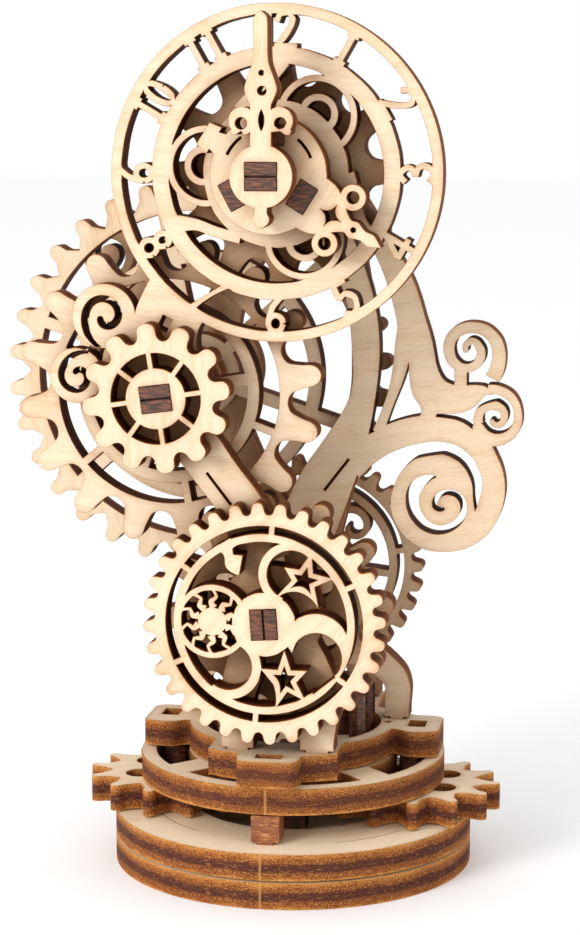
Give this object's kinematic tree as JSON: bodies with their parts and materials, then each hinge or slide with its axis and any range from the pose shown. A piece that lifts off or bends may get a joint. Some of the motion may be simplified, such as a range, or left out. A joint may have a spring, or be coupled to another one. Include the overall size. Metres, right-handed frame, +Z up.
{
  "type": "wooden 3d jigsaw model",
  "caption": "Free-standing laser-cut plywood gear clock: round base with finger gears, scroll-cut upright plates, meshing wheels on rectangular axles and a dial with hands.",
  "frame": {"origin": "centre of the round base's underside, on the floor", "axes": "+Z up, the dial and hands face -Y, +X to the right seen from the front"},
  "size_m": [0.0772, 0.0568, 0.1234],
  "materials": {
    "base_disc_lower": "uncoated birch plywood, scorched edges",
    "base_disc_upper": "uncoated birch plywood, scorched edges",
    "base_post_1": "laser-cut plywood edge, scorched reddish brown",
    "base_post_2": "laser-cut plywood edge, scorched reddish brown",
    "base_post_3": "laser-cut plywood edge, scorched reddish brown",
    "deck_ring": "uncoated birch plywood, scorched edges",
    "carrier_plate": "uncoated birch plywood, scorched edges",
    "finger_pin_left": "laser-cut plywood edge, scorched reddish brown",
    "finger_pin_right": "laser-cut plywood edge, scorched reddish brown",
    "dial_plate": "uncoated birch plywood, scorched edges",
    "scroll_plate": "uncoated birch plywood, scorched edges, slightly darker sheet",
    "rear_plate": "uncoated birch plywood, scorched edges, slightly darker sheet",
    "big_tooth_wheel": "uncoated birch plywood, scorched edges",
    "knob_gear": "uncoated birch plywood, scorched edges",
    "fine_wheel": "uncoated birch plywood, scorched edges, slightly darker sheet",
    "left_axle": "laser-cut plywood edge, scorched reddish brown",
    "left_washer": "uncoated birch plywood, scorched edges, slightly darker sheet",
    "star_moon_wheel": "uncoated birch plywood, scorched edges",
    "drive_wheel": "uncoated birch plywood, scorched edges",
    "scroll_wheel": "uncoated birch plywood, scorched edges, slightly darker sheet",
    "lower_axle": "laser-cut plywood edge, scorched reddish brown",
    "lower_washer": "uncoated birch plywood, scorched edges, slightly darker sheet",
    "lower_rear_washer": "uncoated birch plywood, scorched edges, slightly darker sheet",
    "hour_wheel": "uncoated birch plywood, scorched edges",
    "hour_hand": "uncoated birch plywood, scorched edges",
    "hour_strip_1": "laser-cut plywood edge, scorched reddish brown",
    "hour_strip_2": "laser-cut plywood edge, scorched reddish brown",
    "hour_strip_3": "laser-cut plywood edge, scorched reddish brown",
    "minute_axle": "laser-cut plywood edge, scorched reddish brown",
    "minute_hand": "uncoated birch plywood, scorched edges",
    "minute_pinion": "uncoated birch plywood, scorched edges",
    "minute_washer": "uncoated birch plywood, scorched edges, slightly darker sheet",
    "centre_pinion": "uncoated birch plywood, scorched edges",
    "centre_shaft": "laser-cut plywood edge, scorched reddish brown",
    "crown_disc": "uncoated birch plywood, scorched edges",
    "crown_peg_1": "laser-cut plywood edge, scorched reddish brown",
    "crown_peg_2": "laser-cut plywood edge, scorched reddish brown",
    "crown_peg_3": "laser-cut plywood edge, scorched reddish brown",
    "crown_peg_4": "laser-cut plywood edge, scorched reddish brown",
    "crown_peg_5": "laser-cut plywood edge, scorched reddish brown",
    "crown_peg_6": "laser-cut plywood edge, scorched reddish brown",
    "crown_peg_7": "laser-cut plywood edge, scorched reddish brown",
    "crown_peg_8": "laser-cut plywood edge, scorched reddish brown",
    "crown_peg_9": "laser-cut plywood edge, scorched reddish brown",
    "finger_gear_left": "uncoated birch plywood, scorched edges",
    "finger_gear_right": "uncoated birch plywood, scorched edges"
  },
  "bodies": {
    "frame": {"base_disc_lower": "base_disc_lower", "base_disc_upper": "base_disc_upper", "base_post_1": "base_post_1", "base_post_2": "base_post_2", "base_post_3": "base_post_3", "deck_ring": "deck_ring", "carrier_plate": "carrier_plate", "finger_pin_left": "finger_pin_left", "finger_pin_right": "finger_pin_right", "dial_plate": "dial_plate", "scroll_plate": "scroll_plate", "rear_plate": "rear_plate"},
    "left_train": {"big_tooth_wheel": "big_tooth_wheel", "knob_gear": "knob_gear", "fine_wheel": "fine_wheel", "left_axle": "left_axle", "left_washer": "left_washer"},
    "lower_train": {"star_moon_wheel": "star_moon_wheel", "drive_wheel": "drive_wheel", "scroll_wheel": "scroll_wheel", "lower_axle": "lower_axle", "lower_washer": "lower_washer", "lower_rear_washer": "lower_rear_washer"},
    "hour_train": {"hour_wheel": "hour_wheel", "hour_hand": "hour_hand", "hour_strip_1": "hour_strip_1", "hour_strip_2": "hour_strip_2", "hour_strip_3": "hour_strip_3"},
    "minute_train": {"minute_axle": "minute_axle", "minute_hand": "minute_hand", "minute_pinion": "minute_pinion", "minute_washer": "minute_washer"},
    "crown": {"centre_pinion": "centre_pinion", "centre_shaft": "centre_shaft", "crown_disc": "crown_disc", "crown_peg_1": "crown_peg_1", "crown_peg_2": "crown_peg_2", "crown_peg_3": "crown_peg_3", "crown_peg_4": "crown_peg_4", "crown_peg_5": "crown_peg_5", "crown_peg_6": "crown_peg_6", "crown_peg_7": "crown_peg_7", "crown_peg_8": "crown_peg_8", "crown_peg_9": "crown_peg_9"},
    "finger_left": {"finger_gear_left": "finger_gear_left"},
    "finger_right": {"finger_gear_right": "finger_gear_right"}
  },
  "joints": [
    {"name": "left_spin", "type": "hinge", "parent": "frame", "child": "left_train", "pos_m": [-0.01545, 0, 0.07018], "axis": [0, 1, 0], "continuous": true},
    {"name": "lower_spin", "type": "hinge", "parent": "frame", "child": "lower_train", "pos_m": [-0.0005, 0, 0.0392], "axis": [0, 1, 0], "continuous": true},
    {"name": "hour_spin", "type": "hinge", "parent": "frame", "child": "hour_train", "pos_m": [0.0005, 0, 0.10066], "axis": [0, 1, 0], "continuous": true},
    {"name": "minute_spin", "type": "hinge", "parent": "frame", "child": "minute_train", "pos_m": [0.0005, 0, 0.10066], "axis": [0, 1, 0], "continuous": true},
    {"name": "crown_spin", "type": "hinge", "parent": "frame", "child": "crown", "pos_m": [0, 0, 0], "axis": [0, 0, 1], "continuous": true},
    {"name": "finger_left_spin", "type": "hinge", "parent": "frame", "child": "finger_left", "pos_m": [-0.0177, 0, 0], "axis": [0, 0, 1], "continuous": true},
    {"name": "finger_right_spin", "type": "hinge", "parent": "frame", "child": "finger_right", "pos_m": [0.0177, 0, 0], "axis": [0, 0, 1], "continuous": true}
  ],
  "couplings": [
    {"joint": "lower_spin", "follows": "left_spin", "ratio": -1.3333},
    {"joint": "hour_spin", "follows": "left_spin", "ratio": -1.3333},
    {"joint": "minute_spin", "follows": "left_spin", "ratio": -4},
    {"joint": "crown_spin", "follows": "left_spin", "ratio": 1.7778},
    {"joint": "finger_left_spin", "follows": "left_spin", "ratio": -1.094},
    {"joint": "finger_right_spin", "follows": "left_spin", "ratio": -1.094}
  ]
}
